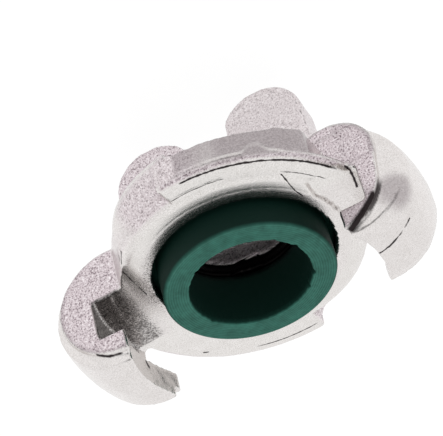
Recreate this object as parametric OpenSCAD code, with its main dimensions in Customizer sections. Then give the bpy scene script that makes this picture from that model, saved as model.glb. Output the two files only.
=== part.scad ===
// Claw coupling end cap: a cast body with two hooked claws and two grip wings, and a rubber seal.
// Origin: middle of the machined front face, on the coupling axis. +Z points at the mating half,
// and +X runs through the middle of one claw.

/* [Claws] */
// Clear distance between the lips of the two claws
claw_gap = 42; // [38:0.5:48]
// Distance from the middle line of a claw to its end beside the rim
claw_rim_end = 9.6; // [7:0.2:11]
// Distance from the middle line of a claw to its end where mating claws enter
claw_entry_end = 7; // [5:0.25:9]
// How much further the entry end reaches at a claw's back than at its front
claw_flare = 0.7; // [0:0.1:1.5]
// Rounding of a claw's outer corner at its rim end
claw_corner = 6.5; // [2:0.25:7]
// How much fuller the casting is at the second claw
claw_swell = 1.2; // [0:0.1:1.6]
// Radius of the round outline of a claw, in the plane through the axis
claw_round = 10.1; // [9.6:0.1:11]
// Thickness of the claw wall outside the slot
claw_wall = 6.3; // [4:0.1:7]
// Height of the slot behind the lip, which takes the rim of the mating half
slot_h = 6.7; // [5.5:0.1:8]
// Thickness of the lip
lip_t = 4.1; // [3:0.1:4.8]
// Thickness of the end plates on a claw's two ends
plate_t = 1.4; // [0.8:0.1:3]
// How far the end plates stay inside the claw's outline
plate_inset = 0.4; // [0.2:0.1:0.8]
// Distance from the axis to the outer side of the thumb shaped plate on the rim end
thumb_out = 27.4; // [26:0.1:28]
// How far the thumb shaped plate reaches behind the front face
thumb_back = 10.7; // [9.6:0.1:11]
// Radius of the thumb shaped plate's round back
thumb_back_r = 6.8; // [5:0.1:8]
// Radius of the thumb shaped plate's round front
thumb_front_r = 9; // [7:0.1:10]
// How much nearer the axis the thumb shaped plate is at its front than at its back
thumb_lean = 0.9; // [0:0.1:2]

// Distance from the axis to the straight step where the slot's cast floor begins
floor_start = 15.6; // [14.5:0.1:17]
// Half the width of the cast floor
floor_half = 11.3; // [10:0.1:13]
// Depth of the cast floor below the turned front face
floor_step = 0.35; // [0.1:0.05:0.8]

/* [Flange] */
// Radial width of the rim that the mating claws hold
rim_grip = 3.6; // [2.6:0.1:4.2]
// Radial room between the rim and the wall of a slot
rim_room = 0.6; // [0.4:0.1:1.5]
// Radial room between the neck and a passing lip
neck_room = 0.7; // [0.4:0.1:1.5]
// Axial play of the rim in a slot where the ramp starts
rim_play = 0.7; // [0.4:0.1:1.5]
// Slope of the ramp on the back of the rim, in degrees
ramp_slope = 1.4; // [0.5:0.1:2.5]
// Angle from the middle of a claw to the free end of the rim, in degrees
rim_angle = 99; // [85:1:105]
// Rounding of the neck's front edge where the mating claws enter
neck_edge = 1.2; // [0.6:0.1:2.4]
// How far the front of the rim sits behind the front face
rim_step = 0.1; // [0.05:0.05:0.6]
// Length of the straight side of the neck, behind the front face
neck_h = 9.4; // [8:0.2:12]
// Height of the domed back behind the neck
dome_h = 4.6; // [3:0.2:7]

/* [Seal] */
// Outside diameter of the seal's front ring
seal_od = 28.2; // [25:0.2:29]
// Diameter of the seal's mouth
seal_mouth_d = 20; // [17:0.1:21]
// How far the seal stands out of the front face
seal_proud = 4.2; // [2.5:0.1:5.5]
// Radial width of the foot outside the front ring
foot_step = 2.6; // [2:0.1:3]
// Thickness of the foot
foot_t = 3; // [2.4:0.1:3.6]
// Depth of the seal's seat below the front face
seat_depth = 6.4; // [5:0.1:7]
// Gap all round between the front ring and the mouth of the seat
mouth_gap = 1.7; // [0.8:0.1:2]
// Gap all round between the foot and the groove that holds it
foot_gap = 0.15; // [0.05:0.05:0.4]
// Width of the rough bevel round the mouth of the seat
mouth_bevel = 1.6; // [0.6:0.1:2.2]

/* [Pocket] */
// Depth of the pocket behind the seal, down to the closed end wall
pocket_depth = 2.2; // [1:0.1:4]
// Radius of the pocket
pocket_r = 10; // [7:0.1:11]

/* [Wings] */
// Thickness of the wings at their tips
wing_t = 6.6; // [4:0.1:8]
// Draft of the wings' faces, in degrees
wing_draft = 2; // [1:0.5:4]
// Radius of each wing's round tip
wing_tip_r = 7.1; // [5:0.1:8.5]
// Distance across both wings
wing_span = 34.6; // [30:0.2:40]
// Distance from the front face to the wing tips
wing_reach = 30.4; // [26:0.1:33]
// How much wider the hollow between the wings is than the gap between their round tips
valley_extra = 1; // [0.4:0.1:2]

/* [Hidden] */
$fn = 96;
far = 60;

lip_r = claw_gap / 2;
neck_r = lip_r - neck_room;
rim_r = lip_r + rim_grip;
slot_r = rim_r + rim_room;
claw_r = slot_r + claw_wall;
claw_top = slot_h + lip_t;
claw_mid_r = claw_r - claw_round;
claw_mid_z = claw_top - claw_round;
root_depth = 3;
claw_root_r = neck_r - root_depth;
flare_angle = atan(claw_flare / (2 * claw_round));
corner_x = claw_r + claw_swell - claw_corner;
slot_corner = 0.8;

// Centres of the thumb shaped plate's two rounds, and the angle at which a line touches both
thumb_a = [thumb_out - thumb_back_r, thumb_back_r - thumb_back];
thumb_b = [thumb_out - thumb_lean - thumb_front_r, claw_top - plate_inset - thumb_front_r];
thumb_way = thumb_b - thumb_a;
thumb_side = atan2(thumb_way[1], thumb_way[0])
    - acos((thumb_back_r - thumb_front_r) / norm(thumb_way));
thumb_turn = [cos(thumb_side), sin(thumb_side)];

ring_r = seal_od / 2;
seal_in_r = seal_mouth_d / 2;
mouth_r = ring_r + mouth_gap;
foot_r = ring_r + foot_step;
groove_r = foot_r + foot_gap;
groove_h = foot_t + 2 * foot_gap;
mouth_slope = 64;

rim_start = 20;
rim_mid = (rim_angle + rim_start) / 2;
rim_back = slot_h - rim_play;
rim_edge = 0.8;

dome_edge = 2.4;
dome_apex = -(neck_h + dome_h);
// Sphere through the back corner of the neck and the apex
dome_r = (neck_r * neck_r + dome_h * dome_h) / (2 * dome_h);
dome_c = dome_apex + dome_r;
edge_z = dome_c - sqrt(pow(dome_r - dome_edge, 2) - pow(neck_r - dome_edge, 2));
edge_touch = (neck_r - dome_edge) * dome_r / (dome_r - dome_edge);

tip_x = wing_span / 2 - wing_tip_r;
tip_z = wing_tip_r - wing_reach;
valley_r = max(2.5, tip_x - wing_tip_r + valley_extra / 2);
valley_z = tip_z + sqrt(pow(wing_tip_r + valley_r, 2) - tip_x * tip_x);
touch_x = tip_x * valley_r / (wing_tip_r + valley_r);
touch_z = valley_z - (valley_z - tip_z) * valley_r / (wing_tip_r + valley_r);

wing_inset = 0.5;

cast_colour = [0.80, 0.79, 0.78];
rubber_colour = [0.16, 0.40, 0.35];

module both_sides() {
    children();
    rotate([0, 0, 180]) children();
}

// Half section of the neck and its domed back
module neck_section() {
    translate([0, edge_z]) square([neck_r, -edge_z - neck_edge]);
    translate([0, -neck_edge - 1]) square([neck_r - neck_edge, neck_edge + 1]);
    translate([neck_r - neck_edge, -neck_edge]) circle(neck_edge);
    translate([0, edge_z]) intersection() {
        translate([neck_r - dome_edge, 0]) circle(dome_edge);
        translate([0, -dome_edge]) square([neck_r, 2 * dome_edge]);
    }
    intersection() {
        translate([0, dome_c]) circle(dome_r, $fn = 240);
        translate([0, dome_apex - 1]) square([edge_touch, edge_z - dome_apex + 1]);
    }
}

// Half section of the opening inside the lip and the slot behind it
module slot_section() {
    square([lip_r, far]);
    square([slot_r - slot_corner, slot_h]);
    square([slot_r, slot_h - slot_corner]);
    translate([slot_r - slot_corner, slot_h - slot_corner]) circle(slot_corner, $fn = 48);
}

// Round outline of a claw with its lip and slot, shrunk by inset and raised by lift
module claw_section(inset, lift) {
    difference() {
        intersection() {
            translate([claw_mid_r, claw_mid_z + lift]) circle(claw_round - inset, $fn = 160);
            translate([claw_root_r, -far / 2]) square([far, far]);
        }
        slot_section();
    }
}

// Plan of a claw between its ends, with a round outer corner at the rim end
module claw_plan(inset) {
    end_y = claw_rim_end - inset;
    intersection() {
        linear_extrude(2 * far, center = true) {
            translate([0, -far]) square([far, far + end_y - claw_corner]);
            translate([0, -far]) square([corner_x, far + end_y]);
            translate([corner_x, end_y - claw_corner]) circle(claw_corner);
        }
        translate([0, inset - claw_entry_end, claw_top]) rotate([-flare_angle, 0, 0])
            translate([0, 0, -2 * far]) cube([far, 2 * far, 3 * far]);
    }
}

// Thumb shaped plate that closes a claw's rim end
module thumb_plate() {
    difference() {
        translate([0, claw_rim_end, 0]) rotate([90, 0, 0]) linear_extrude(2 * plate_t) {
            translate(thumb_a) circle(thumb_back_r);
            translate(thumb_b) circle(thumb_front_r);
            polygon([thumb_a, thumb_a + thumb_back_r * thumb_turn,
                thumb_b + thumb_front_r * thumb_turn, thumb_b]);
        }
        rotate_extrude() slot_section();
    }
}

module claw(swell) {
    intersection() {
        rotate_extrude() claw_section(-swell / 2, swell / 2);
        claw_plan(plate_t);
    }
    // End plate on the entry end
    intersection() {
        rotate_extrude() claw_section(plate_inset, 0);
        claw_plan(0);
        translate([0, -far, -far]) cube([far, far, 2 * far]);
    }
    thumb_plate();
}

// Space above the cast floor between the neck and a claw's slot
module slot_floor() {
    translate([0, 0, -floor_step]) intersection() {
        cylinder(r = slot_r, h = 2 * floor_step);
        translate([floor_start, -floor_half, 0]) cube([far, 2 * floor_half, far]);
    }
}

// Ramped rim beside a claw, held by the slot of the mating claw
module rim() {
    intersection() {
        rotate([0, 0, rim_start]) rotate_extrude(angle = rim_angle - rim_start) difference() {
            translate([neck_r - root_depth, -far])
                square([rim_r - neck_r + root_depth, far - rim_step]);
            translate([rim_r, -rim_step]) rotate([0, 0, 45])
                square([rim_edge * sqrt(2), rim_edge * sqrt(2)], center = true);
        }
        rotate([0, 0, rim_mid]) translate([neck_r, 0, -rim_back]) rotate([ramp_slope, 0, 0])
            translate([-far, -far, 0]) cube([2 * far, 2 * far, far]);
    }
}

// Outline of both wings in the plane through the axis
module wing_outline() {
    translate([-tip_x, tip_z]) circle(wing_tip_r);
    translate([tip_x, tip_z]) circle(wing_tip_r);
    translate([-wing_span / 2, tip_z]) square([wing_span, -tip_z - root_depth]);
}

module wings() {
    difference() {
        intersection() {
            rotate([90, 0, 0]) linear_extrude(2 * far, center = true) wing_outline();
            translate([0, wing_t / 2, tip_z]) rotate([-wing_draft, 0, 0])
                translate([-far, -2 * far, -far]) cube([2 * far, 2 * far, 2 * far]);
            translate([0, -wing_t / 2, tip_z]) rotate([wing_draft, 0, 0])
                translate([-far, 0, -far]) cube([2 * far, 2 * far, 2 * far]);
            // Stay inside the neck
            translate([0, 0, -wing_reach - far])
                cylinder(r = neck_r - wing_inset, h = wing_reach + far - root_depth);
        }
        // Hollow between the wings
        rotate([90, 0, 0]) linear_extrude(2 * far, center = true) {
            translate([0, valley_z]) circle(valley_r);
            polygon([[-touch_x, touch_z], [touch_x, touch_z], [tip_x, tip_z - far],
                [-tip_x, tip_z - far]]);
        }
    }
}

// Seat, groove and pocket that are turned out of the body
module seat() {
    translate([0, 0, -seat_depth]) cylinder(r = mouth_r, h = seat_depth + far);
    translate([0, 0, -seat_depth]) cylinder(r = groove_r, h = groove_h);
    translate([0, 0, -mouth_bevel * tan(90 - mouth_slope)])
        cylinder(r1 = mouth_r, r2 = mouth_r + mouth_bevel * 2,
            h = 2 * mouth_bevel * tan(90 - mouth_slope));
    translate([0, 0, -seat_depth - pocket_depth])
        cylinder(r = pocket_r, h = pocket_depth + seat_depth);
}

module coupling_body() {
    color(cast_colour) difference() {
        union() {
            rotate_extrude() neck_section();
            both_sides() rim();
            claw(0);
            rotate([0, 0, 180]) claw(claw_swell);
            wings();
        }
        seat();
        both_sides() slot_floor();
    }
}

module seal_ring() {
    color(rubber_colour) translate([0, 0, -seat_depth]) rotate_extrude() difference() {
        union() {
            translate([seal_in_r, foot_gap]) square([foot_r - seal_in_r, foot_t]);
            translate([seal_in_r, foot_gap])
                square([ring_r - seal_in_r, seat_depth + seal_proud - foot_gap]);
        }
    }
}

coupling_body();
seal_ring();
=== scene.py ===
"""Looks of a cast claw coupling end cap: a zinc plated casting with a green rubber seal ring.

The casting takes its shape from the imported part. The cast ends of the rims, the raised ring round
the seat's mouth and the slope of the open slot's floor are formed here, and the -X wing is a little
shorter. The skin is rounded over every edge, roughened and given the flash and dents of a sand
casting. The seal ring is turned again with its fine ridges and
the torn lip of its mouth.
"""

import logging
import math
from dataclasses import dataclass, field

import bpy
import numpy as np
from mathutils import Matrix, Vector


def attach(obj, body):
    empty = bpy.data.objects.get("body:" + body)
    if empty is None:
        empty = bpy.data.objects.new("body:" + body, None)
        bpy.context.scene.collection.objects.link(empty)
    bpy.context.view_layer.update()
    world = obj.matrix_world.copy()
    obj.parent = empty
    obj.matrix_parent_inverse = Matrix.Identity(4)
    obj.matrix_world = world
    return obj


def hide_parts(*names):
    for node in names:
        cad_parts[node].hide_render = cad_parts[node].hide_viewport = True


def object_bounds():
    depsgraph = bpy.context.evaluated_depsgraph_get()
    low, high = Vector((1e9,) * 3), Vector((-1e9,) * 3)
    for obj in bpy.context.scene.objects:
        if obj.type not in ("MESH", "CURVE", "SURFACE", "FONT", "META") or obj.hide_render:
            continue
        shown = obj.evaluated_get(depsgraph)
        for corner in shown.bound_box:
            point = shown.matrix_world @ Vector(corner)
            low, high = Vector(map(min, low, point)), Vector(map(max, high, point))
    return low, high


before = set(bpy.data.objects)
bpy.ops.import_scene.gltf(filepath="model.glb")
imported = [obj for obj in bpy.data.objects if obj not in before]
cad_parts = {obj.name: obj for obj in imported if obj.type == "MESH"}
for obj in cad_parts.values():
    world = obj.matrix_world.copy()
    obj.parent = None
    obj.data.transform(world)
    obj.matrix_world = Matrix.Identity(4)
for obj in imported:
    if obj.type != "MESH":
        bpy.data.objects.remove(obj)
CAD_BOX = [list(corner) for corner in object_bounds()]

MM = 0.001
CAMERA_LENS = 152.873
CAMERA_PLACE = (0.062453, 0.22492, 0.18775)
CAMERA_RIGHT = (0.87722, -0.433302, 0.206723)
CAMERA_UP = (0.432029, 0.524688, -0.733521)
# Half width and corner points of each painted shade line in a crease or step of the casting, in mm
CREASES = (
    (0.22, ((27.6, 2.9, 8.5), (25.2, 2.2, 9.9), (23.1, 1.6, 10.7), (21.2, 1.3, 10.9))),
    (0.38, ((-25.3, 6.6, 9.1), (-23.6, 6.1, 9.9), (-21.8, 6.1, 10.2), (-20.4, 5.2, 9.7))),
    (0.4, ((-20.9, -2.1, 7.6), (-20.9, -2.5, 8.3))),
    (0.12, ((-16.5, 11.0, -0.3), (-16.4, 7.1, -0.3), (-16.2, 3.6, -0.3))),
    (0.14, ((13.5, 15.3, -0.1), (13.7, 10.6, 0.0))),
    (0.1, ((13.7, 10.6, 0.0), (14.2, 8.6, 0.0))),
    (0.22, ((-15.7, -16.2, 0.0), (-15.1, -16.6, 0.0))),
    (0.2, ((-14.9, 13.9, -2.6), (-14.9, 13.9, -1.7), (-16.0, 12.4, -0.7))),
    (0.26, ((20.6, 12.2, -0.6), (20.6, 11.2, -0.4), (20.9, 10.4, -0.6))),
    (0.26, ((22.2, 9.9, -0.6), (22.5, 8.8, -0.4), (22.3, 6.7, -0.4), (21.9, 4.6, -0.4))),
    (0.8, ((19.8, 8.9, 10.3), (21.7, 9.3, 9.3), (23.3, 9.6, 8.2), (24.8, 9.6, 6.6))),
    (0.15, ((16.4, 3.4, -26.5), (17.2, 3.5, -19.5), (17.2, 3.6, -13.5))),
    (0.18, ((-16.6, 12.1, -0.7), (-14.6, 14.1, -4.5))),
)
# Radius in mm of the groove turned in the front face
GROOVE_RADIUS = 20.9
# Mark, radius and half width of each painted shade line round the axis, in mm
RINGS = (
    ("front_line", 23.45, 0.24),
    ("groove_line", GROOVE_RADIUS, 0.09),
    ("lower_line", 22.4, 0.13),
)
LOG = logging.getLogger("claw_coupling")


def linear(hex_colour: str) -> tuple[float, float, float, float]:
    """Turns an sRGB hex colour into the linear RGBA that shader sockets take.

    Args:
        hex_colour: Colour as six hex digits.

    Returns:
        Red, green, blue and an alpha of 1.
    """
    parts = [int(hex_colour[i : i + 2], 16) / 255 for i in (0, 2, 4)]
    rgb = [c / 12.92 if c <= 0.04045 else ((c + 0.055) / 1.055) ** 2.4 for c in parts]
    return (rgb[0], rgb[1], rgb[2], 1.0)


def smoothstep(low: float, high: float, values: np.ndarray) -> np.ndarray:
    """Rises from 0 at low to 1 at high along the cubic t * t * (3 - 2 t).

    Args:
        low: Value at which the result is 0. It may be the larger one.
        high: Value at which the result is 1.
        values: Values to turn into shares.

    Returns:
        Shares from 0 to 1, as many as there are values.
    """
    t = np.clip((values - low) / (high - low), 0.0, 1.0)
    return t * t * (3.0 - 2.0 * t)


def window(start: float, full: float, last: float, end: float, values: np.ndarray) -> np.ndarray:
    """Rises from 0 at start to 1 at full and falls again from last to 0 at end.

    Args:
        start: Value at which the rise starts.
        full: Value at which it is complete.
        last: Value at which the fall starts.
        end: Value at which it is complete.
        values: Values to turn into shares.

    Returns:
        Shares from 0 to 1, as many as there are values.
    """
    return smoothstep(start, full, values) * (1.0 - smoothstep(last, end, values))


@dataclass(frozen=True)
class ValueNoise:
    """Smooth random field in space, made from hashed lattice points.

    Attributes:
        cell: Size of a lattice cell in metres.
        seed: Number that picks the field.
    """

    cell: float
    seed: int

    def _lattice(self, cells: np.ndarray) -> np.ndarray:
        """Hashes whole-numbered cells to values from -1 to 1."""
        cells = cells.astype(np.int64)
        mixed = (
            cells[..., 0] * 73856093 ^ cells[..., 1] * 19349663 ^ cells[..., 2] * 83492791
        ) + self.seed * 2654435761
        mixed = (mixed ^ (mixed >> 13)) * 1274126177
        mixed = mixed ^ (mixed >> 16)
        return (mixed & 0xFFFF) / 32767.5 - 1.0

    def at(self, points: np.ndarray) -> np.ndarray:
        """Reads the field at points by blending the eight corners of each cell.

        Args:
            points: Array of shape (n, 3) in metres.

        Returns:
            Array of n values from -1 to 1.
        """
        scaled = points / self.cell
        base = np.floor(scaled)
        part = scaled - base
        part = part * part * (3.0 - 2.0 * part)
        total = np.zeros(len(points))
        for corner in range(8):
            step = np.array([corner & 1, corner >> 1 & 1, corner >> 2 & 1])
            weight = np.prod(np.where(step == 1, part, 1.0 - part), axis=1)
            total += weight * self._lattice(base + step)
        return total


@dataclass
class NodeGraph:
    """Builds the shader nodes of one material or world.

    Attributes:
        owner: The material or world whose nodes are made.
    """

    owner: bpy.types.Material | bpy.types.World

    def __post_init__(self) -> None:
        """Empties the owner's node tree."""
        self.owner.use_nodes = True
        self.tree = self.owner.node_tree
        self.tree.nodes.clear()

    def add(self, kind: str, inputs: dict | None = None, **settings: object) -> bpy.types.Node:
        """Adds a node, sets its properties, and sets or links its inputs.

        Args:
            kind: Type name of the node.
            inputs: Socket name or number to a constant, a socket or a node, whose first
                output is taken.
            **settings: Properties of the node itself.

        Returns:
            The new node.
        """
        node = self.tree.nodes.new(kind)
        for name, value in settings.items():
            setattr(node, name, value)
        for name, value in (inputs or {}).items():
            socket = node.inputs[name]
            if isinstance(value, bpy.types.Node):
                self.tree.links.new(value.outputs[0], socket)
            elif isinstance(value, bpy.types.NodeSocket):
                self.tree.links.new(value, socket)
            else:
                socket.default_value = value
        return node

    def ramp(self, source: object, stops: list[tuple[float, tuple]]) -> bpy.types.Node:
        """Maps a value to colours through a ramp with the given stops."""
        node = self.add("ShaderNodeValToRGB", {0: source})
        elements = node.color_ramp.elements
        elements[0].position, elements[0].color = stops[0]
        elements[1].position, elements[1].color = stops[-1]
        for position, colour in stops[1:-1]:
            elements.new(position).color = colour
        return node

    def noise(self, size_mm: float, detail: float, rough: float = 0.5) -> bpy.types.Node:
        """Adds noise on object coordinates whose features are about size_mm across."""
        coords = self.add("ShaderNodeTexCoord")
        return self.add(
            "ShaderNodeTexNoise",
            {
                "Vector": coords.outputs["Object"],
                "Scale": 1.0 / (size_mm * MM),
                "Detail": detail,
                "Roughness": rough,
            },
        )

    def spread(self, source: object, bounds: tuple[float, ...], **settings: object) -> object:
        """Maps a value from one range to another.

        Args:
            source: Value to map.
            bounds: Start and end of its own range, then of the range that it is mapped to.
            **settings: Properties of the node, such as its kind of interpolation.

        Returns:
            The socket with the mapped value.
        """
        inputs = {0: source, **dict(enumerate(bounds, start=1))}
        return self.add("ShaderNodeMapRange", inputs, **settings).outputs[0]

    def math(self, operation: str, first: object, second: object = 0.0) -> bpy.types.Node:
        """Adds one arithmetic step on two values."""
        return self.add("ShaderNodeMath", {0: first, 1: second}, operation=operation)

    def mix(self, factor: object, first: object, second: object) -> bpy.types.NodeSocket:
        """Blends two colours and returns the blended socket."""
        node = self.add("ShaderNodeMix", {0: factor}, data_type="RGBA")
        for slot, value in ((6, first), (7, second)):
            if isinstance(value, (bpy.types.Node, bpy.types.NodeSocket)):
                out = value.outputs[0] if isinstance(value, bpy.types.Node) else value
                self.tree.links.new(out, node.inputs[slot])
            else:
                node.inputs[slot].default_value = value
        return node.outputs[2]

    def vector(self, operation: str, first: object, second: object = (0.0,) * 3) -> bpy.types.Node:
        """Adds one arithmetic step on two vectors."""
        return self.add("ShaderNodeVectorMath", {0: first, 1: second}, operation=operation)

    def chain_gap(self, chain: tuple[tuple[float, float, float], ...]) -> object:
        """Measures how far the shaded point lies from a chain of straight pieces.

        On each piece the nearest point is its start plus its way times the clamped share
        dot(point - start, way) / dot(way, way). The result is the least of the distances.

        Args:
            chain: Corner points in mm, in object coordinates.

        Returns:
            The distance in metres, as a socket or node.
        """
        place = self.add("ShaderNodeTexCoord").outputs["Object"]
        nearest = None
        for first, second in zip(chain[:-1], chain[1:]):
            start = np.array(first) * MM
            way = np.array(second) * MM - start
            offset = self.vector("SUBTRACT", place, tuple(start))
            share = self.vector("DOT_PRODUCT", offset, tuple(way / (way @ way)))
            share = self.add("ShaderNodeClamp", {0: share.outputs["Value"], 1: 0.0, 2: 1.0})
            along = self.add("ShaderNodeVectorMath", {0: tuple(way)}, operation="SCALE")
            self.tree.links.new(share.outputs[0], along.inputs["Scale"])
            gap = self.vector("LENGTH", self.vector("SUBTRACT", offset, along)).outputs["Value"]
            nearest = gap if nearest is None else self.math("MINIMUM", nearest, gap)
        return nearest

    def finish(self, shader: bpy.types.Node) -> bpy.types.Material | bpy.types.World:
        """Links the shader to the output and returns the material or world."""
        on_surface = isinstance(self.owner, bpy.types.Material)
        kind = "ShaderNodeOutputMaterial" if on_surface else "ShaderNodeOutputWorld"
        self.add(kind, {"Surface": shader})
        return self.owner


@dataclass(frozen=True)
class CastZinc:
    """Zinc plated sand casting: a grain of pits with painted glints, finer on the machined faces.

    Attributes:
        bright: Colour of smooth plating.
        faint: Colour of smooth plating where it is a little stained.
        painted_glint: Colour of the grain's bright points, painted glints of the rough plating.
        warm: Colour of the grain between its points.
        pit: Colour of the grain's pits.
        dim: Colour of painted shade, the darker reflections on the rims' sides and the claws.
        dim_light: Colour of the brighter grain in that painted shade.
        speckled_shade_tone: Colour of the painted shade, speckled by the grain, round the seat's
            mouth and in the open slot.
        crease_shade: Colour of the painted shade in creases and steps.
        deep: Colour of the painted shade down in the seat.
        grain_mm: Size of the casting grain.
        frayed: Length in mm by which the edge of a crease wanders.
        creases: Half width in mm and corner points in mm of each painted shade line in a crease.
        rings: Name of the mark that shows it, radius in mm and half width in mm of each painted
            shade line that runs round the axis.
    """

    bright: str = "EFECEA"
    faint: str = "D2CECA"
    painted_glint: str = "FBF5F7"
    warm: str = "DACED2"
    pit: str = "84757B"
    dim: str = "81767A"
    dim_light: str = "A1979A"
    speckled_shade_tone: str = "3A3533"
    crease_shade: str = "2E2829"
    deep: str = "0C0B0B"
    grain_mm: float = 0.3
    frayed: float = 0.18
    creases: tuple[tuple[float, tuple[tuple[float, float, float], ...]], ...] = ()
    rings: tuple[tuple[str, float, float], ...] = ()

    def _crease_shade_lines(self, g: NodeGraph, ragged: object) -> object:
        """Adds up the painted shade of the creases and ring shaped lines, each with a ragged edge.

        A line is dark where the distance to its middle, divided by its half width, is under a
        half, and fades out where that share passes one.

        Args:
            g: Graph of the material.
            ragged: Value from 0 to 1 that varies along a line.

        Returns:
            Value that is 1 in a dark line and 0 away from it.
        """
        fade = (0.5, 1.1, 1.0, 0.0)
        total = g.add("ShaderNodeAttribute", attribute_name="crease").outputs["Fac"]
        wobble = g.spread(ragged, (0.35, 0.65, 0.6, 1.35))
        for half_width, chain in self.creases:
            reach = g.math("MULTIPLY", g.math("SUBTRACT", wobble, 1.0), self.frayed * MM)
            reach = g.math("ADD", reach, half_width * MM)
            line = g.math("DIVIDE", g.chain_gap(chain), reach)
            total = g.math("MAXIMUM", total, g.spread(line, fade))
        place = g.add("ShaderNodeTexCoord").outputs["Object"]
        flat = g.vector("LENGTH", g.vector("MULTIPLY", place, (1.0, 1.0, 0.0)))
        for mark, ring, half_width in self.rings:
            gap = g.math("ABSOLUTE", g.math("SUBTRACT", flat.outputs["Value"], ring * MM))
            line = g.math("DIVIDE", gap, g.math("MULTIPLY", wobble, half_width * MM))
            where = g.add("ShaderNodeAttribute", attribute_name=mark).outputs["Fac"]
            total = g.math("MAXIMUM", total, g.math("MULTIPLY", g.spread(line, fade), where))
        return total

    def build(self) -> bpy.types.Material:
        """Makes the material, which reads the skin's roughness and its painted shade from the mesh.

        The grain, with its painted glints, shows where the skin is rough. The darker tones of
        painted shade and dark reflections show where the mesh marks them, and speckled painted
        shade shows where the grain plus its mark passes a threshold. The painted shade lines of the
        creases lie over that, and the seat's painted shade lies over all.

        Returns:
            The finished material.
        """
        g = NodeGraph(bpy.data.materials.new("cast_zinc"))
        marks = {
            name: g.add("ShaderNodeAttribute", attribute_name=name).outputs["Fac"]
            for name in ("rough_skin", "painted_shade", "shade", "speckled_shade")
        }
        grain = g.noise(self.grain_mm, 2.0, 0.7).outputs["Fac"]
        coarse = g.noise(2.2, 4.0, 0.6).outputs["Fac"]
        fine = g.noise(0.14, 2.0).outputs["Fac"]
        # The grain's ramp runs from real pits to painted glints on its bright points.
        tones = ((0.36, self.pit), (0.47, self.warm), (0.56, self.warm), (0.66, self.painted_glint))
        speckle = g.ramp(grain, [(at, linear(tone)) for at, tone in tones])
        faint = g.ramp(fine, [(0.3, linear(self.faint)), (0.6, linear(self.bright))])
        cloud = g.ramp(coarse, [(0.3, (0.3,) * 4), (0.6, (0.0, 0.0, 0.0, 1.0))])
        faint = g.mix(cloud, faint, linear(self.faint))
        skin = g.mix(marks["rough_skin"], faint, speckle)
        # Painted shade: darker reflections on the rims' sides, the right claw's corner and the
        # plates' edges.
        painted_shade = g.ramp(grain, [(0.38, linear(self.dim)), (0.62, linear(self.dim_light))])
        skin = g.mix(g.math("MULTIPLY", marks["painted_shade"], 0.85), skin, painted_shade)
        # Painted shade, speckled by the grain, round the seat's mouth and in the open slot.
        speckled_shade = g.math("ADD", g.math("MULTIPLY", grain, 1.5), g.math("MULTIPLY", marks["speckled_shade"], 1.4))
        speckled_shade = g.spread(speckled_shade, (1.0, 1.5, 0.0, 0.9))
        speckled_shade = g.math("MULTIPLY", speckled_shade, g.math("CEIL", marks["speckled_shade"]))
        skin = g.mix(speckled_shade, skin, linear(self.speckled_shade_tone))
        uneven = g.noise(0.9, 2.0).outputs["Fac"]
        # Painted shade in the creases, steps and ring lines of the casting.
        skin = g.mix(self._crease_shade_lines(g, uneven), skin, linear(self.crease_shade))
        # Painted shade down in the seat.
        skin = g.mix(marks["shade"], skin, linear(self.deep))
        height = g.math("ADD", grain, g.math("MULTIPLY", coarse, 0.9))
        height = g.math("MULTIPLY", height, g.math("ADD", marks["rough_skin"], 0.06))
        height = g.math("ADD", height, g.math("MULTIPLY", fine, 0.1))
        bump = {"Height": height, "Strength": 0.8, "Distance": 0.16 * MM}
        shader = g.add(
            "ShaderNodeBsdfPrincipled",
            {
                "Base Color": skin,
                "Metallic": 1.0,
                "Roughness": g.spread(marks["rough_skin"], (0.0, 1.0, 0.24, 0.36)),
                "Normal": g.add("ShaderNodeBump", bump),
            },
        )
        return g.finish(shader)


@dataclass(frozen=True)
class GreenRubber:
    """Moulded rubber with a matt skin, with painted light on its front face.

    Attributes:
        colour: Colour of the rubber.
        front_light: Colour of the front face where painted light makes it lighter.
    """

    colour: str = "06251E"
    front_light: str = "336A5D"

    def build(self) -> bpy.types.Material:
        """Makes the material, with painted light that makes the front face lighter than the walls.

        Returns:
            The finished material.
        """
        g = NodeGraph(bpy.data.materials.new("green_rubber"))
        front = g.add("ShaderNodeAttribute", attribute_name="front").outputs["Fac"]
        ring = g.add("ShaderNodeAttribute", attribute_name="ridge").outputs["Fac"]
        mottled = g.noise(1.7, 4.0, 0.6).outputs["Fac"]
        # Painted light on the front face, mottled and changing along the ridges.
        shade = g.math("MULTIPLY", front, g.math("ADD", mottled, 0.15))
        shade = g.math("ADD", shade, g.math("MULTIPLY", ring, 0.3))
        colour = g.mix(shade, linear(self.colour), linear(self.front_light))
        bump = g.add(
            "ShaderNodeBump",
            {"Height": g.noise(0.5, 3.0).outputs["Fac"], "Strength": 0.25, "Distance": 0.1 * MM},
        )
        shader = g.add(
            "ShaderNodeBsdfPrincipled",
            {
                "Base Color": colour,
                "Roughness": 0.66,
                "Specular IOR Level": 0.16,
                "Normal": bump,
            },
        )
        return g.finish(shader)


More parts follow.
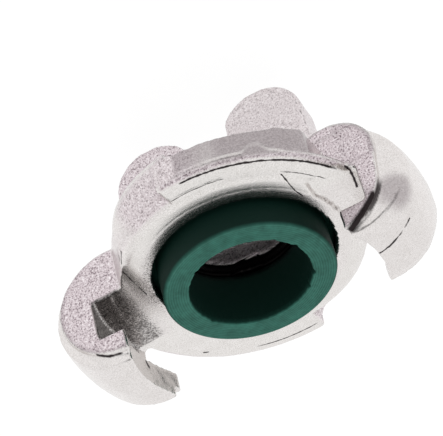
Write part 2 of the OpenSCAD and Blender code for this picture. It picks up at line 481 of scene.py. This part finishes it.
@dataclass(frozen=True)
class Plain:
    """Even matt finish of the studio floor.

    Attributes:
        colour: Colour of the surface.
        lit: Colour of the light that shines through it.
        roughness: Roughness of the surface.
        strength: Strength of that light.
        glow: Share of that light in what is seen of the floor, as on a lit table.
    """

    colour: str = "F7F7F6"
    lit: str = "FFFFFF"
    roughness: float = 0.9
    strength: float = 1.05
    glow: float = 0.0

    def build(self, name: str) -> bpy.types.Material:
        """Makes the material: matt where it is lit, and glowing where it is seen.

        It is seen by the camera itself, in reflections and through clear pieces.

        Args:
            name: Name of the material.

        Returns:
            The finished material.
        """
        g = NodeGraph(bpy.data.materials.new(name))
        matt = g.add(
            "ShaderNodeBsdfPrincipled",
            {"Base Color": linear(self.colour), "Roughness": self.roughness},
        )
        lit = g.add("ShaderNodeEmission", {"Color": linear(self.lit), "Strength": self.strength})
        path = g.add("ShaderNodeLightPath")
        seen = g.math("MAXIMUM", path.outputs["Is Camera Ray"], path.outputs["Is Glossy Ray"])
        seen = g.math("MAXIMUM", seen, path.outputs["Is Transmission Ray"])
        part = g.math("MULTIPLY", seen, self.glow)
        return g.finish(g.add("ShaderNodeMixShader", {0: part, 1: matt, 2: lit}))


@dataclass
class SkinMesh:
    """A mesh held as arrays, so that its points can be moved together.

    Attributes:
        points: Array of shape (n, 3) in metres.
        faces: List of corner number tuples.
        values: Named value of each point, such as how rough it is.
    """

    points: np.ndarray
    faces: list[tuple[int, ...]]
    values: dict[str, np.ndarray] = field(default_factory=dict)

    @classmethod
    def from_object(
        cls, source: bpy.types.Object, voxel: float, shells: tuple["SkinMesh", ...] = ()
    ) -> "SkinMesh":
        """Reads an object's shape as even squares of about the voxel's size.

        Args:
            source: Object to copy.
            voxel: Edge length of the squares in metres.
            shells: Closed shells that are merged with the object's shape.

        Returns:
            The even mesh.
        """
        copy = source.copy()
        points = cls._points_of(source.data)
        faces = [tuple(face.vertices) for face in source.data.polygons]
        for shell in shells:
            faces += [tuple(corner + len(points) for corner in face) for face in shell.faces]
            points = np.vstack([points, shell.points])
        copy.data = bpy.data.meshes.new("merged")
        copy.data.from_pydata(points.tolist(), [], faces)
        bpy.context.scene.collection.objects.link(copy)
        remesh = copy.modifiers.new("even", "REMESH")
        remesh.mode = "VOXEL"
        remesh.voxel_size = voxel
        mesh = bpy.data.meshes.new_from_object(
            copy.evaluated_get(bpy.context.evaluated_depsgraph_get())
        )
        made = cls(cls._points_of(mesh), [tuple(face.vertices) for face in mesh.polygons])
        bpy.data.objects.remove(copy)
        bpy.data.meshes.remove(mesh)
        return made

    @staticmethod
    def _points_of(mesh: bpy.types.Mesh) -> np.ndarray:
        """Reads a mesh's points as an array of shape (n, 3)."""
        points = np.empty(len(mesh.vertices) * 3)
        mesh.vertices.foreach_get("co", points)
        return points.reshape(-1, 3)

    def quads(self) -> np.ndarray:
        """Lists the four sided faces as an array of corner numbers."""
        return np.array([face for face in self.faces if len(face) == 4])

    def edges(self) -> tuple[np.ndarray, np.ndarray]:
        """Lists every face edge once in each direction as two index arrays."""
        quads = self.quads()
        pairs = [np.c_[quads[:, i], quads[:, (i + 1) % 4]] for i in range(4)]
        both = np.unique(np.sort(np.vstack(pairs), axis=1), axis=0)
        return np.r_[both[:, 0], both[:, 1]], np.r_[both[:, 1], both[:, 0]]

    def smooth(self, rounds: int, share: float = 0.5) -> None:
        """Moves each point part of the way to the mean of its neighbours.

        Args:
            rounds: Number of passes.
            share: Part of the way moved in one pass.
        """
        start, end = self.edges()
        count = np.bincount(start, minlength=len(self.points))[:, None]
        for _ in range(rounds):
            total = np.zeros_like(self.points)
            for axis in range(3):
                total[:, axis] = np.bincount(
                    start, weights=self.points[end, axis], minlength=len(self.points)
                )
            mean = total / np.maximum(count, 1)
            moved = self.points + share * (mean - self.points)
            self.points = np.where(count > 0, moved, self.points)

    def normals(self) -> np.ndarray:
        """Finds each point's outward direction from the faces round it."""
        quads = self.quads()
        a, b, c, d = (self.points[quads[:, i]] for i in range(4))
        across = np.cross(c - a, d - b)
        total = np.zeros_like(self.points)
        for corner in range(4):
            np.add.at(total, quads[:, corner], across)
        return total / np.maximum(np.linalg.norm(total, axis=1), 1e-12)[:, None]

    def to_object(self, name: str) -> bpy.types.Object:
        """Makes the object, with its named values as point attributes.

        Args:
            name: Name of the object and its mesh.

        Returns:
            The new object.
        """
        mesh = bpy.data.meshes.new(name)
        mesh.from_pydata(self.points.tolist(), [], self.faces)
        mesh.polygons.foreach_set("use_smooth", np.ones(len(mesh.polygons), dtype=bool))
        for key, values in self.values.items():
            layer = mesh.attributes.new(key, "FLOAT", "POINT")
            layer.data.foreach_set("value", values.astype(np.float32))
        mesh.update()
        made = bpy.data.objects.new(name, mesh)
        bpy.context.scene.collection.objects.link(made)
        return made


@dataclass
class Places:
    """Where the points of a skin lie, in the terms in which the casting is described.

    Attributes:
        skin: The skin whose points are looked at, as they lie when this is made.
    """

    skin: SkinMesh

    def __post_init__(self) -> None:
        """Works out lengths in mm and angles in degrees.

        The turn counts from the middle of the +X claw and starts again at 0 at the other one,
        so that both halves of the casting read the same. The side is the sign of X, and forward
        is the way from a claw's middle plane toward its rim.
        """
        self.normals = self.skin.normals()
        self.points = self.skin.points / MM
        self.x, self.y, self.z = self.points.T
        self.radius = np.hypot(self.x, self.y)
        self.side = np.sign(self.x)
        self.full_turn = np.degrees(np.arctan2(self.y, self.x))
        self.turn = self.full_turn % 180.0
        self.forward = self.y * self.side


@dataclass
class CastBody:
    """The casting: hooked claws, ramped rims, neck, domed back and grip wings.

    Lengths are in mm and angles in degrees.

    Attributes:
        voxel: Size of the skin's squares.
        edge_rounds: Smoothing passes that round the edges.
        rim_radius: Outer radius of the rims.
        neck_radius: Radius of the neck.
        mouth_radius: Radius of the mouth of the seal's seat.
        mouth_bevel: Width of the ring round that mouth.
        wing_loss: Length that is missing from the end of the wing on the -X side.
        floor_drop: Depth of the open slot's floor below the front face.
        flash_height: Height of the flash line along the rims.
        thumb_lean: Depth to which the round edge of a thumb shaped plate falls back.
        thumb_middle: Place of the middle of a thumb shaped plate, along X and Z.
        patch_middle: Middle of the painted dark reflection on the right claw.
        ramp_angles: Angles at which the outer radius of a rim's end slope is given.
        ramp_radii: Outer radius of that slope at each of these angles.
        bare_from: Angle from the claw's middle at which the rim's side begins.
        plate_face: Distance of a thumb shaped plate's face from the claw's middle plane.
    """

    voxel: float = 0.335
    edge_rounds: int = 2
    rim_radius: float = 24.6
    neck_radius: float = 20.3
    mouth_radius: float = 15.8
    mouth_bevel: float = 1.6
    wing_loss: float = 0.9
    floor_drop: float = 0.4
    flash_height: float = 0.2
    thumb_lean: float = 0.45
    thumb_middle: tuple[float, float] = (20.6, -3.9)
    patch_middle: tuple[float, float, float] = (28.0, 7.8, 6.2)
    ramp_angles: tuple[float, ...] = (93.0, 99.0, 104.0, 109.0, 116.0, 123.0, 130.0, 137.0, 144.0)
    ramp_radii: tuple[float, ...] = (24.55, 24.0, 23.7, 23.5, 23.1, 22.6, 22.1, 21.4, 20.2)
    bare_from: float = 39.5
    plate_face: float = 9.25

    def build(self, finish: CastZinc) -> bpy.types.Object:
        """Makes the casting and dresses it.

        Args:
            finish: The plating.

        Returns:
            The casting's object.
        """
        ramps = (self._end_ramp(0.0), self._end_ramp(math.pi))
        skin = SkinMesh.from_object(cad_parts["coupling_body"], self.voxel * MM, ramps)
        skin.smooth(self.edge_rounds)
        cast = Places(skin)
        self._roughen(skin, cast)
        self._form_mouth(skin, cast)
        self._form_ends(skin, cast)
        skin.points = np.clip(skin.points, CAD_BOX[0], CAD_BOX[1])
        self._mark(skin)
        made = skin.to_object("cast_body")
        made.data.materials.append(finish.build())
        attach(made, "root")
        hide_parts("coupling_body")
        return made

    def _end_ramp(self, turned_by: float) -> SkinMesh:
        """Makes the cast slope that leads from the neck up to the free end of a rim.

        The section is a five sided ring piece. Its outer radius is read between the listed
        angles, and its outer front edge falls back over the first degrees.

        Args:
            turned_by: Angle about the axis, in radians, by which the slope is turned.

        Returns:
            The closed shell.
        """
        degrees = np.linspace(self.ramp_angles[0], self.ramp_angles[-1], 27)
        angle = np.radians(degrees) + turned_by
        outer = np.interp(degrees, self.ramp_angles, self.ramp_radii)
        drop = smoothstep(self.ramp_angles[0] + 2.0, self.ramp_angles[0] + 13.0, degrees)
        inner = np.full_like(degrees, self.neck_radius - 1.3)
        corners = [
            (inner, np.full_like(degrees, -1.1)),
            (0.5 * (outer + self.neck_radius), -0.75 - 1.3 * drop),
            (outer, -0.8 - 3.9 * drop),
            (outer - 0.3, np.full_like(degrees, -6.9)),
            (inner, np.full_like(degrees, -8.6)),
        ]
        sides = len(corners)
        points = [
            (radius[i] * math.cos(a), radius[i] * math.sin(a), height[i])
            for i, a in enumerate(angle)
            for radius, height in corners
        ]
        last = sides * (len(angle) - 1)
        faces = [tuple(range(sides))[::-1], tuple(last + k for k in range(sides))]
        for step in range(len(angle) - 1):
            for k in range(sides):
                a, b = sides * step + k, sides * step + (k + 1) % sides
                faces.append((a, b, b + sides, a + sides))
        return SkinMesh(np.array(points) * MM, faces)

    def _turned(self, at: Places) -> np.ndarray:
        """Tells how far each point lies on a turned face, from 0 to 1."""
        flat = smoothstep(0.8, 0.95, at.normals[:, 2])
        level = 1.0 - smoothstep(0.35, 0.7, np.abs(at.z + 0.05))
        ring = smoothstep(16.9, 17.5, at.radius)
        root = smoothstep(-17.5, -16.0, -np.abs(at.x))
        open_side = smoothstep(7.0, 8.6, np.abs(at.y))
        return flat * level * ring * np.maximum(root, open_side)

    def _rim_side(self, at: Places) -> np.ndarray:
        """Tells how far each point lies on the outer side of a rim, from 0 to 1."""
        along = window(18.0, 26.0, 95.0, 101.0, at.turn)
        out = smoothstep(self.rim_radius - 1.2, self.rim_radius - 0.5, at.radius)
        return along * out * (1.0 - smoothstep(-0.9, -0.4, at.z))

    def _thumb_edge(self, at: Places) -> np.ndarray:
        """Tells how far each point lies in the round back edge of a thumb shaped plate."""
        middle_x, middle_z = self.thumb_middle
        across = np.hypot(at.x * at.side - middle_x, at.z - middle_z)
        back = 1.0 - smoothstep(-3.0, 0.0, at.z)
        return smoothstep(5.5, 6.6, across) * smoothstep(8.6, 9.2, at.forward) * back

    def _flash(self, at: Places, waves: np.ndarray) -> np.ndarray:
        """Tells how far each point lies in the flash line along the side of a rim.

        Its height is -1.35 mm less a hump of 1.6 mm times exp(-((turn - 60.5) / 3.7) ** 4).
        It bends up by 0.6 mm toward the claw and down by 1.9 mm at the rim's free end.

        Args:
            at: Places of the points.
            waves: Noise that makes the line wander.

        Returns:
            Values from 0 to 1.
        """
        line = -1.35 - 1.6 * np.exp(-(((at.turn - 60.5) / 3.7) ** 4))
        line = line + 0.6 * smoothstep(56.0, 48.0, at.turn)
        line = line - 1.9 * smoothstep(91.0, 96.0, at.turn) + 0.12 * waves
        return np.exp(-(((at.z - line) / 0.26) ** 2)) * self._rim_side(at)

    def _roughen(self, skin: SkinMesh, at: Places) -> None:
        """Moves the skin along its normals, less on the turned faces.

        The lift is a sum of three noise fields of 7, 2.2 and 0.9 mm. The flash line stands proud
        of the side of each rim, and a shallow turned groove runs along parts of the front face.
        """
        wide = ValueNoise(7.0 * MM, 3).at(skin.points)
        middle = ValueNoise(2.2 * MM, 5).at(skin.points)
        small = ValueNoise(0.9 * MM, 7).at(skin.points)
        turned = self._turned(at)
        lift = (0.09 * wide + 0.05 * middle + 0.025 * small) * (1.0 - 0.9 * turned)
        flash = self._flash(at, middle)
        lift = lift + self.flash_height * flash - 0.1 * self._rim_side(at)
        groove = np.exp(-(((at.radius - GROOVE_RADIUS) / 0.16) ** 2)) * turned
        part = window(72.0, 76.0, 97.0, 102.0, at.turn) + window(28.0, 31.0, 46.0, 50.0, at.turn)
        lift = lift - 0.1 * groove * part * smoothstep(-0.6, -0.1, middle)
        skin.values["flash"] = flash
        skin.points = skin.points + at.normals * (lift * MM)[:, None]

    def _form_mouth(self, skin: SkinMesh, at: Places) -> None:
        """Raises the bevel of the seat's mouth to a rough ring level with the front face.

        The ring's height is -0.08 mm times the square of the share of the bevel that lies
        behind, and the mouth is drawn in by up to 0.75 mm.
        """
        outside = self.mouth_radius + self.mouth_bevel
        share = np.clip((outside - at.radius) / self.mouth_bevel, 0.0, 1.0)
        high = at.z < 0.3
        ring = (share > 0.0) & (at.z > -1.1) & high & (at.radius > self.mouth_radius - 0.5)
        height = np.maximum(skin.points[:, 2], -0.08 * MM * share**2)
        skin.points[:, 2] = np.where(ring, height, skin.points[:, 2])
        wall = smoothstep(-3.1, -1.1, at.z) * (np.abs(at.radius - self.mouth_radius) < 0.5)
        inward = np.where(ring, share**2, wall * high) * 0.75
        skin.points[:, :2] *= (1.0 - inward / np.maximum(at.radius, 1.0))[:, None]

    def _form_ends(self, skin: SkinMesh, at: Places) -> None:
        """Gives the thumb plates, the -X wing, the rims and the slot's floor their cast ends.

        The thumb plates' edges fall back, the wing is shorter, the rim's side is drawn back to
        the neck beside each claw so that only its front edge goes on, and the floor slopes.
        """
        skin.points[:, 1] -= at.side * self.thumb_lean * MM * self._thumb_edge(at) ** 2
        short = smoothstep(-19.0, -26.0, at.z) * (at.x < 0.0)
        skin.points[:, 2] += self.wing_loss * MM * short
        bare = smoothstep(self.bare_from + 1.0, self.bare_from - 1.0, at.turn)
        bare = bare * smoothstep(-1.2, -1.7, at.z) * (at.z > -8.0) * (at.forward > 9.0)
        neck = np.sqrt(np.maximum(self.neck_radius**2 - at.x**2, 0.0))
        kept = np.maximum(neck, self.plate_face) * MM
        skin.points[:, 1] -= at.side * np.maximum(skin.points[:, 1] * at.side - kept, 0.0) * bare
        floor = (at.x < -14.2) & (np.abs(at.y) < 12.5) & (np.abs(at.z + 0.2) < 0.5)
        floor = floor & (at.radius < 22.0) & (at.normals[:, 2] > 0.5)
        slope = -self.floor_drop * MM * smoothstep(-14.3, -17.8, at.x)
        skin.points[:, 2] = np.where(floor, slope, skin.points[:, 2])

    def _plates(self, at: Places) -> np.ndarray:
        """Tells how far each point lies on the flat end plate of a claw, from 0 to 1."""
        plates = smoothstep(0.75, 0.93, np.abs(at.normals[:, 1]))
        plates = plates * smoothstep(17.0, 18.5, np.abs(at.x))
        ends = smoothstep(8.6, 9.1, at.forward), smoothstep(6.1, 6.5, -at.forward)
        return plates * np.maximum(*ends)

    def _mark(self, skin: SkinMesh) -> None:
        """Writes how rough each point of the skin is and how much painted shade it takes, from 0 to
        1.
        """
        at = Places(skin)
        turned = self._turned(at)
        end_wall = (1.0 - smoothstep(9.4, 9.8, at.radius)) * smoothstep(0.7, 0.95, at.normals[:, 2])
        seat = (1.0 - smoothstep(16.9, 17.2, at.radius)) * smoothstep(-1.2, -3.0, at.z)
        rough = np.maximum(self._grain(at), end_wall * (at.z < -5.0))
        skin.values["rough_skin"] = np.clip(rough * (1.0 - 0.94 * turned), 0.0, 1.0)
        skin.values["shade"] = seat * smoothstep(-11.0, -10.0, at.z) * (1.0 - 0.95 * end_wall)
        # Painted shade and dark reflections, kept off the flash line.
        skin.values["painted_shade"] = self._painted_shade(at, skin.values["flash"])
        skin.values["speckled_shade"] = self._speckled_shade(at)
        top = (at.z > -0.75) * (at.z < 0.3)
        quarter = (at.x > 0.0) * (at.y > 0.0)
        # Where the painted shade lines round the axis show.
        skin.values["front_line"] = top * smoothstep(26.0, 30.0, at.turn) * quarter
        part = window(73.0, 75.0, 99.0, 101.0, at.turn) + window(26.0, 29.0, 48.0, 50.0, at.turn)
        skin.values["groove_line"] = turned * part * (at.y > 0.0)
        skin.values["lower_line"] = top * window(-112.0, -106.0, -84.0, -82.0, at.full_turn)
        # Painted shadow in the dark wedge beside the +X claw's end plate.
        wall = smoothstep(0.35, 0.6, at.normals[:, 0]) * window(7.6, 8.1, 9.3, 9.5, at.y)
        wall = wall * smoothstep(3.2, 5.2, at.z) * (at.radius > 21.3)
        skin.values["crease"] = np.clip(0.9 * wall, 0.0, 1.0)

    def _grain(self, at: Places) -> np.ndarray:
        """Tells how much casting grain shows at each point, on top of a little everywhere."""
        wings = smoothstep(-9.0, -11.0, at.z) * (1.0 - smoothstep(19.0, 21.0, at.radius))
        wings = wings * np.where(at.x > 0.0, 0.62, 0.95)
        neck = (1.0 - smoothstep(21.0, 22.5, at.radius)) * smoothstep(-0.6, -1.4, at.z)
        loose = self._rim_side(at) * smoothstep(74.0, 88.0, at.turn)
        slope = window(93.0, 99.0, 118.0, 132.0, at.turn) * (at.radius > 19.9)
        slope = slope * smoothstep(-0.5, -1.1, at.z) * smoothstep(-7.0, -5.0, at.z)
        edge = smoothstep(23.2, 23.7, at.radius) * smoothstep(-0.95, -0.6, at.z) * (at.z < 0.3)
        edge = edge * window(26.0, 29.0, 96.0, 99.0, at.turn)
        anywhere = np.full(len(at.x), 0.14)
        parts = [self._plates(at), wings, 0.35 * neck, anywhere, 0.8 * loose, 0.8 * slope, edge]
        return np.maximum.reduce(parts)

    def _painted_shade(self, at: Places, flash: np.ndarray) -> np.ndarray:
        """Tells how much painted shade and dark reflection each point takes, but not on the flash
        line.
        """
        plates = self._plates(at)
        flat_rim = self._rim_side(at) * window(18.0, 30.0, 71.0, 87.0, at.turn)
        # Painted dark reflection on the right claw's round corner.
        patch = np.linalg.norm(at.points - np.array(self.patch_middle), axis=1)
        lip_end = plates * (at.side > 0) * smoothstep(4.6, 5.6, at.z)
        claw = np.hypot(at.radius - 21.4, at.z - 0.7)
        rim_of_plate = smoothstep(8.7, 9.5, claw) * plates * (at.side < 0)
        rim_of_plate = rim_of_plate * smoothstep(-7.0, -2.0, at.z)
        parts = [
            0.9 * flat_rim * (1.0 - flash),
            0.72 * (1.0 - smoothstep(1.6, 4.2, patch)),
            0.7 * self._thumb_edge(at),
            0.55 * rim_of_plate,
            0.45 * lip_end,
        ]
        return np.clip(np.maximum.reduce(parts), 0.0, 1.0)

    def _speckled_shade(self, at: Places) -> np.ndarray:
        """Tells how much speckled painted shade each point takes, on the upper side of the seat's
        mouth and in and before the open slot.
        """
        mouth = smoothstep(18.4, 15.6, at.radius) * smoothstep(14.4, 14.8, at.radius)
        mouth = mouth * smoothstep(-1.6, -1.2, at.z) * (at.z < 0.3)
        upper = at.y / at.radius + np.where(at.x < 0.0, 0.4, 0.0)
        mouth = mouth * smoothstep(0.1, 0.55, upper)
        height = (at.side < 0) & (at.z > -0.6) & (at.z < 6.9)
        front = height * (at.radius < 25.5) * smoothstep(-17.2, -20.2, at.x)
        front = front * smoothstep(8.4, 7.2, np.abs(at.y))
        back = height * (at.radius < 27.0) * smoothstep(-20.2, -21.2, at.x)
        back = back * (np.abs(at.y) < 8.0) * (1.0 - self._plates(at))
        return np.maximum.reduce([0.33 * mouth, 0.42 * front, 0.36 * back])


@dataclass
class SealRing:
    """The rubber seal: a front ring with fine ridges on a wider foot.

    Attributes:
        outer: Radius of the front ring.
        mouth: Radius of the mouth.
        foot: Radius of the foot.
        base: Height of the foot's underside.
        foot_top: Height of the foot's shoulder.
        front: Height of the front face.
        sectors: Number of steps round the axis.
        round_edge: Radius of the rounded front edge.
        ridges: Number of fine steps across the front face.
        tears: Angle and half width in radians and depth in mm of each torn notch of the mouth.
    """

    outer: float = 14.1 * MM
    mouth: float = 10.0 * MM
    foot: float = 16.7 * MM
    base: float = -6.25 * MM
    foot_top: float = -3.25 * MM
    front: float = 4.2 * MM
    sectors: int = 288
    round_edge: float = 0.5 * MM
    ridges: int = 40
    tears: tuple[tuple[float, float, float], ...] = (
        (0.35, 0.05, 0.45),
        (0.78, 0.04, 0.3),
        (5.85, 0.06, 0.5),
        (5.5, 0.03, 0.3),
        (3.6, 0.05, 0.3),
        (2.2, 0.04, 0.25),
    )

    def _profile(self) -> np.ndarray:
        """Lists the section's corners as radius, height, face and ridge values."""
        rows = [
            (self.mouth + 0.4 * MM, self.base, 0.0, 0.0),
            (self.foot, self.base, 0.0, 0.0),
            (self.foot, self.foot_top - 0.3 * MM, 0.0, 0.0),
            (self.foot - 0.3 * MM, self.foot_top, 0.0, 0.0),
            (self.outer, self.foot_top, 0.0, 0.0),
        ]
        for step in range(1, 12):
            height = self.foot_top + (self.front - self.round_edge - self.foot_top) * step / 12
            rows.append((self.outer, height, 0.0, 0.0))
        for step in range(7):
            turn = math.radians(90.0 * step / 6)
            rows.append(
                (
                    self.outer - self.round_edge * (1.0 - math.cos(turn)),
                    self.front - self.round_edge * (1.0 - math.sin(turn)),
                    step / 6,
                    0.0,
                )
            )
        inner = self.mouth + 0.25 * MM
        start = self.outer - self.round_edge
        for step in range(1, self.ridges):
            radius = start + (inner - start) * step / self.ridges
            wave = math.sin(step * 1.9) * math.sin(step * 0.61 + 0.7)
            rows.append((radius, self.front - 0.035 * MM * (1.0 - wave), 1.0, wave))
        rows.append((self.mouth + 0.05 * MM, self.front - 0.12 * MM, 0.8, 0.0))
        rows.append((self.mouth, self.front - 0.4 * MM, 0.3, 0.0))
        for step in range(1, 12):
            height = self.front - 0.4 * MM + (self.base - self.front + 0.8 * MM) * step / 12
            rows.append((self.mouth, height, 0.0, 0.0))
        return np.array(rows)

    def build(self, finish: GreenRubber) -> bpy.types.Object:
        """Turns the section round the axis and tears its mouth.

        At the mouth's front edge a point's radius is its section radius plus a small wave, the
        sum of two sines, plus a bell shaped notch at each of the listed tears.

        Args:
            finish: The rubber.

        Returns:
            The seal's object.
        """
        profile = self._profile()
        turns = np.linspace(0.0, 2.0 * np.pi, self.sectors, endpoint=False)
        radius = np.repeat(profile[:, 0][:, None], self.sectors, axis=1)
        height = np.repeat(profile[:, 1][:, None], self.sectors, axis=1)
        near_mouth = smoothstep(self.mouth + 0.5 * MM, self.mouth, radius)
        near_front = smoothstep(self.front - 2.2 * MM, self.front, height)
        ragged = 0.5 * np.sin(31.0 * turns + 1.0) * np.sin(7.0 * turns) + 0.5 * np.sin(53.0 * turns)
        notch = np.zeros_like(turns)
        for middle, half_width, depth in self.tears:
            away = (turns - middle + np.pi) % (2 * np.pi) - np.pi
            notch += depth * np.exp(-((away / half_width) ** 2))
        radius = radius + near_mouth * near_front * (0.07 * ragged + notch)[None, :] * MM
        points = np.stack(
            [radius * np.cos(turns), radius * np.sin(turns), height], axis=2
        ).reshape(-1, 3)
        rows, cols = len(profile), self.sectors
        faces = []
        for row in range(rows):
            below, above = row * cols, ((row + 1) % rows) * cols
            for col in range(cols):
                after = (col + 1) % cols
                faces.append((below + col, below + after, above + after, above + col))
        skin = SkinMesh(points, faces)
        skin.values["front"] = np.repeat(profile[:, 2], cols)
        skin.values["ridge"] = np.repeat(profile[:, 3], cols)
        made = skin.to_object("seal")
        made.data.materials.append(finish.build())
        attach(made, "root")
        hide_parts("seal_ring")
        return made


@dataclass(frozen=True)
class SoftBox:
    """A square area light that faces a target.

    Attributes:
        name: Name of the light.
        place: Position in metres.
        size: Edge length in metres.
        power: Power in watts.
        in_reflections: True if metal shows the lamp.
    """

    name: str
    place: tuple[float, float, float]
    size: float
    power: float
    in_reflections: bool = False

    def build(self, target: tuple[float, float, float]) -> None:
        """Makes the light and turns it to the target."""
        data = bpy.data.lights.new(self.name, "AREA")
        data.size, data.energy = self.size, self.power
        lamp = bpy.data.objects.new(self.name, data)
        lamp.visible_glossy = self.in_reflections
        bpy.context.scene.collection.objects.link(lamp)
        away = np.array(self.place) - np.array(target)
        away /= np.linalg.norm(away)
        side = np.cross((0.0, 0.0, 1.0) if abs(away[2]) < 0.95 else (0.0, 1.0, 0.0), away)
        side /= np.linalg.norm(side)
        up = np.cross(away, side)
        turn = Matrix(np.c_[side, up, away].tolist())
        lamp.matrix_world = Matrix.Translation(self.place) @ turn.to_4x4()


@dataclass(frozen=True)
class Opening:
    """A dim round part of the light tent, as metal sees it.

    Attributes:
        toward: Direction from the object to its middle.
        inner: Half angle of the dim part in degrees.
        outer: Half angle at which the tent is white again, in degrees.
        level: Strength in the dim part.
    """

    toward: tuple[float, float, float]
    inner: float
    outer: float
    level: float

    def unit(self) -> tuple[float, float, float]:
        """Gives the direction with a length of 1."""
        length = math.hypot(*self.toward)
        return (self.toward[0] / length, self.toward[1] / length, self.toward[2] / length)


@dataclass
class Studio:
    """Pale floor, soft lights and the photo's camera.

    Attributes:
        floor_height: Height of the floor.
        lens: Focal length for a 36 mm sensor.
        place: Camera position.
        right: Direction of the picture's right side.
        up: Direction of the picture's top.
        fill: Strength of the tent's light on matt surfaces.
        tent_colour: Colour of the tent.
        half_floor: Half the edge length of the floor.
        boxes: The lights.
        openings: The dim parts of the tent.
    """

    floor_height: float
    lens: float
    place: tuple[float, float, float]
    right: tuple[float, float, float]
    up: tuple[float, float, float]
    fill: float = 0.55
    tent_colour: str = "FFFFFF"
    half_floor: float = 3.0
    boxes: tuple[SoftBox, ...] = ()
    openings: tuple[Opening, ...] = ()

    def build(self, finish: Plain) -> None:
        """Makes the floor, the lights, the world and the camera."""
        half = self.half_floor
        mesh = bpy.data.meshes.new("floor")
        corners = [(-half, -half), (half, -half), (half, half), (-half, half)]
        mesh.from_pydata([(x, y, self.floor_height) for x, y in corners], [], [(0, 1, 2, 3)])
        mesh.materials.append(finish.build("floor"))
        floor = bpy.data.objects.new("floor", mesh)
        bpy.context.scene.collection.objects.link(floor)
        for lamp in self.boxes:
            lamp.build((0.0, 0.0, 0.0))
        bpy.context.scene.world = self._world()
        self._camera()
        bpy.context.scene.view_settings.view_transform = "Standard"

    def _world(self) -> bpy.types.World:
        """Makes the light tent: white, with a dim opening on the camera's side.

        Metal sees the dim openings, matt surfaces see the even fill, and the camera sees white.

        Returns:
            The world.
        """
        g = NodeGraph(bpy.data.worlds.new("studio"))
        toward = g.add("ShaderNodeTexCoord").outputs["Generated"]
        path = g.add("ShaderNodeLightPath")
        level = 1.0
        for opening in self.openings:
            across = g.vector("DOT_PRODUCT", toward, opening.unit()).outputs["Value"]
            outer = math.cos(math.radians(opening.outer))
            inner = math.cos(math.radians(opening.inner))
            bounds = (outer, inner, 1.0, opening.level)
            dimmed = g.spread(across, bounds, interpolation_type="SMOOTHSTEP")
            level = g.math("MULTIPLY", level, dimmed)
        tent = g.add("ShaderNodeMix", {0: path.outputs["Is Glossy Ray"], 2: self.fill, 3: level})
        seen = g.math("MAXIMUM", path.outputs["Is Camera Ray"], path.outputs["Is Transmission Ray"])
        white = g.add("ShaderNodeMix", {0: seen, 2: tent, 3: 1.0})
        colour = linear(self.tent_colour)
        return g.finish(g.add("ShaderNodeBackground", {"Color": colour, "Strength": white}))

    def _camera(self) -> None:
        """Makes the camera from its place and the picture's two directions."""
        data = bpy.data.cameras.new("camera")
        data.lens, data.sensor_width = self.lens, 36.0
        data.clip_start, data.clip_end = 0.01, 10.0
        camera = bpy.data.objects.new("camera", data)
        bpy.context.scene.collection.objects.link(camera)
        back = np.cross(self.right, self.up)
        turn = Matrix(np.c_[self.right, self.up, back].tolist())
        camera.matrix_world = Matrix.Translation(self.place) @ turn.to_4x4()
        bpy.context.scene.camera = camera


def main() -> None:
    """Builds the pieces, then the studio, and logs each piece."""
    logging.basicConfig(level=logging.INFO)
    body = CastBody().build(CastZinc(creases=CREASES, rings=RINGS))
    seal = SealRing().build(GreenRubber())
    for made in (body, seal):
        LOG.info("%s: %d faces", made.name, len(made.data.polygons))
    studio = Studio(
        floor_height=-30.4 * MM,
        lens=CAMERA_LENS,
        place=CAMERA_PLACE,
        right=CAMERA_RIGHT,
        up=CAMERA_UP,
        boxes=(
            SoftBox("back", (-0.18, -0.66, 0.54), 0.9, 3.0),
            SoftBox("top", (0.05, 0.05, 0.9), 1.2, 5.4),
        ),
        openings=(Opening(CAMERA_PLACE, 10.0, 38.0, 0.3),),
    )
    studio.build(Plain(glow=0.9))


if __name__ == "__main__":
    main()
